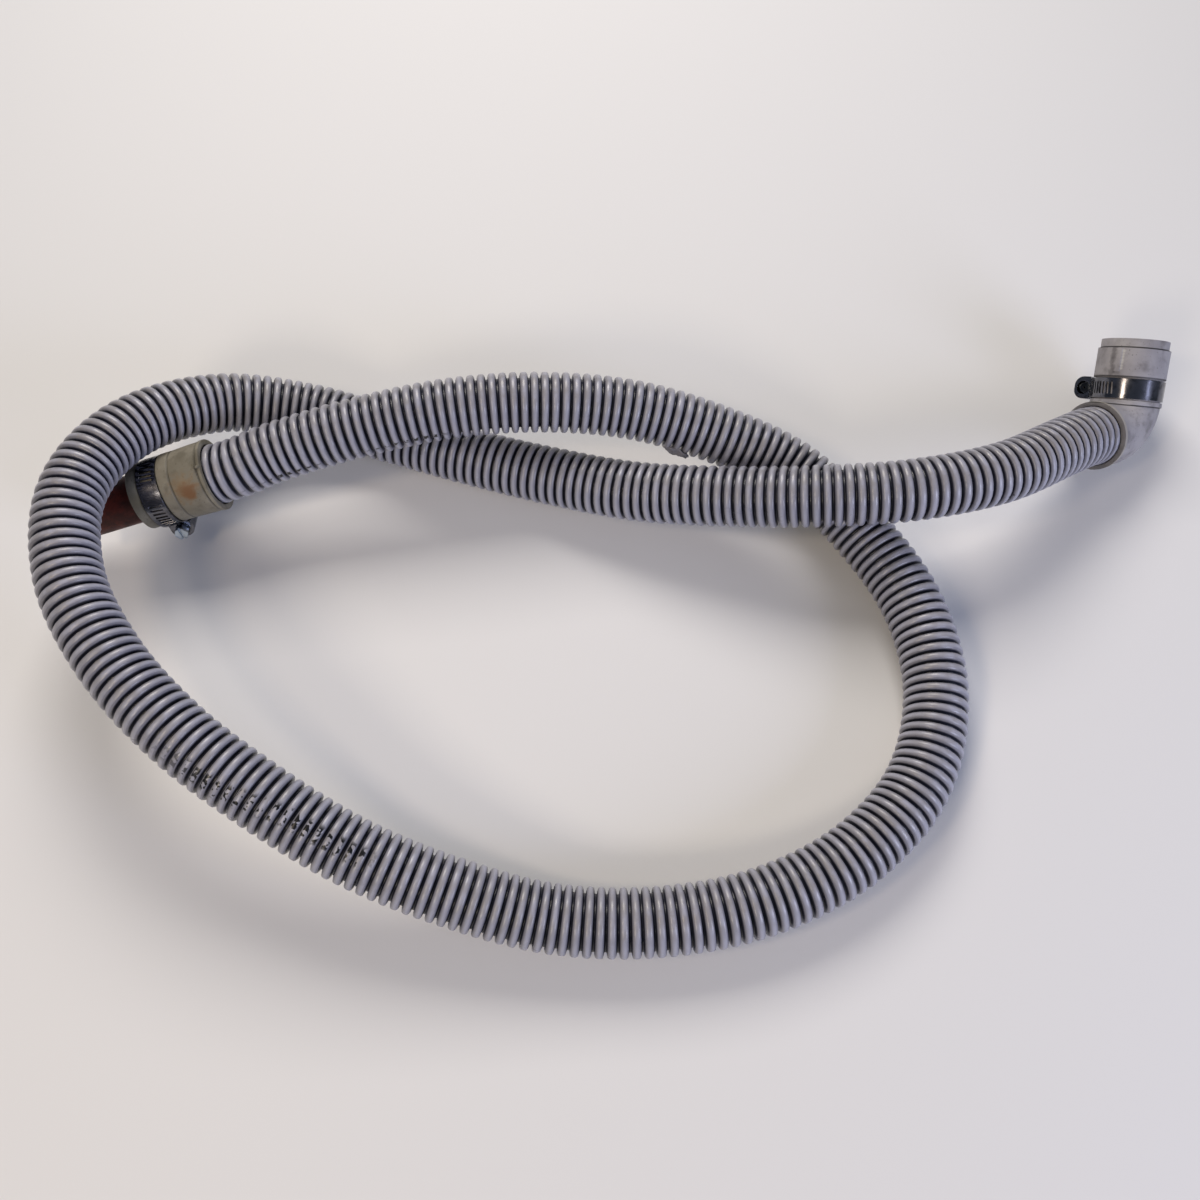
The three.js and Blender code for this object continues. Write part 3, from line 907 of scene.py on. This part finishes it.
for clamp_name, clamp in CLAMPS.items():
    screw = clamp_screw(clamp_name + "_worm_screw", clamp)
    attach(screw, clamp_name + "_screw")
    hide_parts(clamp_name + "_clamp_screw")
    clamp["screw"] = screw

# %% [markdown]
# With every piece in place, the hose and the pieces that sit on its ends are finished.

# %% Every piece in place
print("every piece in place")

# %% [markdown]
# Every material is built from a few layers. A grain is noise in object coordinates, with the
# width of its patches in millimetres. A mask multiplies soft steps, such as "low on the rib" and
# "near the print". A layer lays one colour over another where its mask allows, and a skin closes
# the material with its gloss and a fine bump.

# %% Layers of a material
def grain(tree, size_mm, detail=3.0):
    """Noise on the object, with patches about this wide."""
    where = add_node(tree, "TexCoord").outputs["Object"]
    values = {"Vector": where, "Scale": 1 / (size_mm * MM), "Detail": detail, "Roughness": 0.55}
    return add_node(tree, "TexNoise", values).outputs["Fac"]


def mask(tree, strength, *parts):
    """A strength times all parts. A part is a value, or (value, from, to) for a soft step."""
    for part in parts:
        if isinstance(part, tuple):
            value, low, high = part
            part = add_node(tree, "MapRange", {"Value": value, "From Min": low, "From Max": high},
                            interpolation_type="SMOOTHSTEP").outputs["Result"]
        strength = add_node(tree, "Math", {0: strength, 1: part}, operation="MULTIPLY").outputs[0]
    return strength


def layer(tree, under, over, strength, *parts):
    """Lay a colour over another one by a mask."""
    factor = mask(tree, strength, *parts)
    return add_node(tree, "Mix", {"Factor": factor, "A": under, "B": over}, data_type="RGBA").outputs[2]


def mark(tree, centre_mm, radius_mm, ragged=0.35):
    """A part for a mask: a soft patch round a point on the object, with an uneven rim."""
    where = add_node(tree, "TexCoord").outputs["Object"]
    ends = {0: where, 1: Vector(centre_mm) * MM}
    reach = add_node(tree, "VectorMath", ends, operation="DISTANCE").outputs["Value"]
    uneven = add_node(tree, "MapRange", {"Value": grain(tree, 2.5), "From Min": 0.3, "From Max": 0.7,
                                         "To Min": 1 - ragged, "To Max": 1 + ragged}).outputs["Result"]
    return mask(tree, reach, uneven), radius_mm * MM, 0.3 * radius_mm * MM


def crease(tree, frame, height_mm, half_mm):
    """A part for a mask: a thin line round a turned piece, at a height along its frame's Z."""
    axis = frame.to_3x3() @ UP
    place = frame.translation.dot(axis) + height_mm * MM
    where = add_node(tree, "TexCoord").outputs["Object"]
    along_axis = add_node(tree, "VectorMath", {0: where, 1: axis}, operation="DOT_PRODUCT").outputs["Value"]
    return add_node(tree, "Math", {0: along_axis, 1: place, 2: half_mm * MM}, operation="COMPARE").outputs[0]


def skin(material, tone, gloss, bump, **settings):
    """Close a material: its colour, its range of roughness, a bump (size, depth) and settings."""
    tree = material.node_tree
    rough = add_node(tree, "MapRange", {"Value": grain(tree, 8), "From Min": 0.3, "From Max": 0.7,
                                        "To Min": gloss[0], "To Max": gloss[1]}).outputs["Result"]
    size_mm, depth_mm = bump
    relief = add_node(tree, "Bump", {"Strength": 0.3, "Distance": depth_mm * MM,
                                     "Height": grain(tree, size_mm)})
    inputs = {"Base Color": tone, "Roughness": rough, "Normal": relief.outputs["Normal"]}
    inputs.update({name.replace("_", " "): value for name, value in settings.items()})
    shader = add_node(tree, "BsdfPrincipled", inputs)
    add_node(tree, "OutputMaterial", {"Surface": shader.outputs[0]})
    return material


def dress(piece, material):
    """Give a piece its one material."""
    piece.data.materials.clear()
    piece.data.materials.append(material)


print("material layers ready")

# %% [markdown]
# The hose is polypropylene, extruded and blown into ribs: a mid grey with a cool lilac cast, a
# low satin gloss and no grain. What makes it look used is dirt, and painted light adds to it. The
# grooves are filled near-black, partly grime and partly painted shade, the crests are painted
# lighter as a painted highlight, and what faces up is painted browner, partly a thin dust and
# partly a painted warm cast of the light from above. Worn black ink flecks are left on the crests
# where a line of print once ran. A small dark speck sits on many ribs near the straight cuff. The
# ink and the specks are placed by the values that the mesh carries, so they follow the hose.

# %% Hose plastic
PRINT_START, PRINT_END = (681, 689), (785, 752)
SPECK_END = (120, 112)
NICKS = [(159.1, 42.4, 44.3), (161.0, 43.2, 43.9)]


def hose_plastic():
    """Grey corrugated polypropylene, used and a little dirty, with painted shade in its grooves and a
    painted highlight on its crests.
    """
    material, tree = new_material("corrugated_polypropylene")
    carried = {name: add_node(tree, "Attribute", attribute_name=name).outputs["Fac"]
               for name in ("rib_height", "hose_distance", "print_arc", "speck_arc")}
    normal = add_node(tree, "NewGeometry").outputs["Normal"]
    facing_up = add_node(tree, "SeparateXYZ", {"Vector": normal}).outputs["Z"]
    crest = (carried["rib_height"], 0.80, 0.93)
    tone = layer(tree, "#767681", "#84848f", 1.0, (grain(tree, 55), 0.35, 0.65))
    # Painted highlight: the crests of the ribs are painted lighter.
    tone = layer(tree, tone, "#a9aab8", 0.75, (carried["rib_height"], 0.9, 1.0))
    # What faces up is painted browner: partly a thin dust, partly a painted warm cast of the light from
    # above.
    tone = layer(tree, tone, "#7f7a76", 0.55, (facing_up, 0.45, 1.0), (grain(tree, 6), 0.3, 0.65))
    # The grooves are painted near-black: partly grime, partly painted shade.
    tone = layer(tree, tone, "#151827", 0.97, (carried["rib_height"], 0.84, 0.42))
    tone = layer(tree, tone, "#08080b", 1.0, crest, (carried["print_arc"], 5.4, 2.4),
                 (carried["hose_distance"], *PRINT_START), (carried["hose_distance"], *PRINT_END),
                 (grain(tree, 2.0, 1.0), 0.50, 0.54))
    tone = layer(tree, tone, "#101014", 1.0, crest, (carried["speck_arc"], 1.5, 0.8),
                 (carried["hose_distance"], *SPECK_END), (grain(tree, 2.2, 1.0), 0.42, 0.48))
    for place in NICKS:
        tone = layer(tree, tone, "#1b1a1e", 1.0, mark(tree, place, 0.9))
    return skin(material, tone, (0.26, 0.38), (1.1, 0.05), IOR=1.49)


dress(hose, hose_plastic())
print("hose plastic on", hose.name)

# %% [markdown]
# The cuffs are moulded EPDM rubber, a matt grey-beige that dirt darkens. The straight one is
# the yellower of the two, with a rust-brown stain on its barrel and dark streaks that run from
# the collar, and painted shade in its collar groove and the notch of its ring. The elbow is
# greyer, with a beige rim at the hose and some specks near the hose. Thin rings of painted shade
# run round it under the lip, under the flange, just above the clamp's seat and on its end face at
# the hose, and its small rib has painted shade on one side and a painted highlight along the other.

# %% Cuff rubber
STRAIGHT_MARKS = [
    ("#7b5b2e", 0.5, (-196.0, 62.8, 44.5), 8.0),
    ("#6a4524", 0.85, (-194.2, 62.2, 43.6), 5.0),
    ("#4f4a3c", 0.7, (-189.9, 74.3, 50.5), 5.0),
    ("#4f4a3c", 0.6, (-198.0, 77.5, 49.5), 5.0),
    ("#6f6752", 0.5, (-217.0, 58.0, 42.0), 6.0),
]
ELBOW_MARKS = [
    ("#3c3733", 0.85, (217.0, 72.1, 30.8), 1.2),
    ("#3c3733", 0.8, (219.2, 71.0, 27.6), 1.4),
    ("#57524c", 0.6, (222.5, 73.5, 30.0), 3.0),
]
# Painted shade on one side of the elbow's small rib, and a painted highlight along its other edge.
RIB_SIDE_SHADE = ("#454143", 0.55, 2.2, -2, (12.5, 15, 17.5, 20, 22.5))
RIB_EDGE_HIGHLIGHT = ("#bdbbb6", 0.75, 0.9, 12.5, (14, 15.3, 16.6, 17.9, 19.2, 20.5, 21.8))


def rubber(name, clean, shaded, dirt, marks, creases):
    """Moulded rubber in two close tones, with dirt, marks and lines round it; most lines and a few marks are
    painted shade, and a few marks a painted highlight.
    """
    material, tree = new_material(name)
    tone = layer(tree, clean, shaded, 1.0, (grain(tree, 14), 0.35, 0.65))
    tone = layer(tree, tone, dirt, 0.6, (grain(tree, 6.5, 5.0), 0.48, 0.72))
    tone = layer(tree, tone, dirt, 0.65, (grain(tree, 0.9, 1.0), 0.68, 0.74))
    for colour, strength, centre_mm, radius_mm in marks:
        tone = layer(tree, tone, colour, strength, mark(tree, centre_mm, radius_mm))
    for colour, strength, frame, height_mm, half_mm in creases:
        tone = layer(tree, tone, colour, strength, crease(tree, frame, height_mm, half_mm))
    return skin(material, tone, (0.5, 0.66), (1.6, 0.12), IOR=1.52)


arm = elbow_frame @ bend_end
head_end = ARM_LENGTHS["seat"] + ARM_LENGTHS["head"]
STRAIGHT_CREASE_SHADE = [
    # Painted shade: darker rings in the collar's groove and in the notch of the ring.
    ("#37342b", 0.75, straight_frame, 1.75, 0.4),
    ("#4b473b", 0.6, straight_frame, CUFF_LENGTHS["body"], 0.45),
]
ELBOW_RIM_AND_CREASE_SHADE = [
    # Painted shade: dark rings under the lip's step, under the flange and just above the clamp's seat, and
    # on the end face at the hose. The beige line is the rim's own colour.
    ("#1f1d1e", 0.9, arm, head_end + 0.15, 0.35),
    ("#1f1d1e", 0.9, arm, -ARM_LENGTHS["flange"] - 0.2, 0.3),
    ("#1f1d1e", 0.8, arm, ARM_LENGTHS["seat"] + 0.2, 0.35),
    ("#a09a8c", 0.6, elbow_frame, 1.1, 0.8),
    ("#565452", 0.6, elbow_frame, 0, 0.2),
]
# The rib's painted shade and painted highlight join the elbow's marks as rows of soft spots.
for colour, strength, radius_mm, turn, heights in (RIB_SIDE_SHADE, RIB_EDGE_HIGHLIGHT):
    for height in heights:
        spoke = Matrix.Rotation(math.radians(turn), 4, "Z") @ Vector((ELBOW_HEAD, 0, height)) * MM
        ELBOW_MARKS.append((colour, strength, arm @ spoke / MM, radius_mm))
dress(cuff, rubber("grey_beige_rubber", "#7f7a6d", "#6c675a", "#4b4538", STRAIGHT_MARKS, STRAIGHT_CREASE_SHADE))
dress(elbow, rubber("pale_grey_rubber", "#9b989b", "#89868a", "#5f5b5b", ELBOW_MARKS, ELBOW_RIM_AND_CREASE_SHADE))
print("rubber on", cuff.name, "and", elbow.name)

# %% [markdown]
# The clamps are polished stainless strip, so the shader is a plain metal whose look comes from
# what it mirrors. Its colour is painted dark, partly grime in patches and partly a painted
# reflection of dark surroundings. The screws are zinc-plated, which is paler and less sharp, and
# the tail end of the elbow's screw is painted near-black, a painted shade where it sits in the end
# of its housing. The tube is old copper under a dark red-brown tarnish.

# %% Metals
def worn_metal(name, clean, grime, gloss, tail_shade=None):
    """Bare metal with a worn polish, grime in patches and, if asked, one near-black spot of painted shade.
    """
    material, tree = new_material(name)
    tone = layer(tree, clean, grime, 0.7, (grain(tree, 3.5, 4.0), 0.48, 0.72))
    if tail_shade:
        # A near-black spot of painted shade, where the tail sits inside the end of the housing.
        tone = layer(tree, tone, "#131316", 0.95, mark(tree, tail_shade / MM, TAIL_SHADE_MM))
    return skin(material, tone, gloss, (0.7, 0.02), Metallic=1.0)


def tarnished_copper():
    """Old copper: a dark red-brown oxide with browner patches and a dull sheen."""
    material, tree = new_material("tarnished_copper_tube")
    tone = layer(tree, "#5f2015", "#36120c", 1.0, (grain(tree, 8, 4.0), 0.35, 0.65))
    tone = layer(tree, tone, "#170a08", 0.6, (grain(tree, 1.4), 0.55, 0.7))
    return skin(material, tone, (0.42, 0.62), (1.2, 0.08), Metallic=0.5)


TAIL_SHADE_MM = 6
elbow_clamp = CLAMPS["elbow"]
tail_end = Vector((screw_axis(elbow_clamp), -elbow_clamp["head"] * SADDLE["length"] / 2, 0)) * MM
# The strip's colour is painted dark: partly grime, partly a painted reflection of dark surroundings.
steel = worn_metal("polished_stainless_strip", "#6c6d74", "#252428", (0.14, 0.26))
# The spot of painted shade goes on the tail end of the elbow's screw.
painted_tail_shade_spot = clamp_place(elbow_clamp) @ tail_end
zinc = worn_metal("zinc_plated_steel", "#b9c4d0", "#6f767e", (0.22, 0.38), painted_tail_shade_spot)
dress(tube, tarnished_copper())
for clamp in CLAMPS.values():
    for piece in clamp["pieces"]:
        dress(piece, steel)
    dress(clamp["screw"], zinc)
print("metals on the tube and the two clamps")

# %% [markdown]
# The set is a pale floor under plain soft light. One broad lamp stands on the far side, so that
# the shadows fall towards us. A cooler one at the front right draws a pale lilac edge along the
# ribs, and two small warm ones at the left put the bright glints on the clamps. The world is
# a mid grey, and it turns white only where the camera looks straight at it. The floor fades
# out into that white well away from the hose, as a studio sweep does.

# %% Floor, lamps and world
FLOOR_SIZE = 6.0
FLOOR_FADE = 0.75, 1.3
KEY_PLACE = Vector((-0.1, 0.9, 0.95))
SIDE_PLACE = Vector((0.88, -0.66, 0.45))
GLINT_PLACE = Vector((-0.55, -0.8, 0.75))
SHEEN_PLACE = Vector((-0.47, -0.26, 0.8))
AIM = Vector((0, 0, 0.03))


def pale_floor():
    """A flat floor under the hose, which fades out far from it."""
    floor = add_object("pale_floor", bpy.ops.mesh.primitive_plane_add, size=FLOOR_SIZE,
                       location=(0, 0, -0.2 * MM))
    material, tree = new_material("matt_pale_floor")
    shader = add_node(tree, "BsdfPrincipled", {"Base Color": "#d9d9da", "Roughness": 0.85})
    where = add_node(tree, "TexCoord").outputs["Object"]
    reach = add_node(tree, "VectorMath", {0: where}, operation="LENGTH").outputs["Value"]
    seen = add_node(tree, "MixShader", {0: mask(tree, 1.0, (reach, *FLOOR_FADE)), 1: shader.outputs[0],
                                        2: add_node(tree, "BsdfTransparent").outputs[0]})
    add_node(tree, "OutputMaterial", {"Surface": seen.outputs[0]})
    dress(floor, material)


def soft_lamp(name, place, size, watts, colour):
    """A square area lamp that faces the middle of the object."""
    lamp = add_object(name, bpy.ops.object.light_add, type="AREA", location=place)
    lamp.rotation_euler = (AIM - place).to_track_quat("-Z", "Y").to_euler()
    lamp.data.size = size
    lamp.data.energy = watts
    lamp.data.color = linear(colour)[:3]


def studio_world(grey, strength):
    """A grey world that the camera sees as white."""
    world = bpy.data.worlds.new("studio")
    bpy.context.scene.world = world
    world.use_nodes = True
    tree = world.node_tree
    tree.nodes.clear()
    dim = add_node(tree, "Background", {"Color": grey, "Strength": strength})
    white = add_node(tree, "Background", {"Color": "#ffffff", "Strength": 1.0})
    rays = add_node(tree, "LightPath").outputs["Is Camera Ray"]
    seen = add_node(tree, "MixShader", {0: rays, 1: dim.outputs[0], 2: white.outputs[0]})
    add_node(tree, "OutputWorld", {"Surface": seen.outputs[0]})


pale_floor()
soft_lamp("key_lamp", KEY_PLACE, 0.6, 12.5, "#fff8f0")
soft_lamp("side_lamp", SIDE_PLACE, 0.5, 7.5, "#dbe0fd")
soft_lamp("glint_lamp", GLINT_PLACE, 0.25, 3.5, "#fff0da")
soft_lamp("sheen_lamp", SHEEN_PLACE, 0.16, 1.5, "#ffe9cc")
studio_world("#8f97a6", 0.45)
bpy.context.scene.view_settings.view_transform = "Standard"
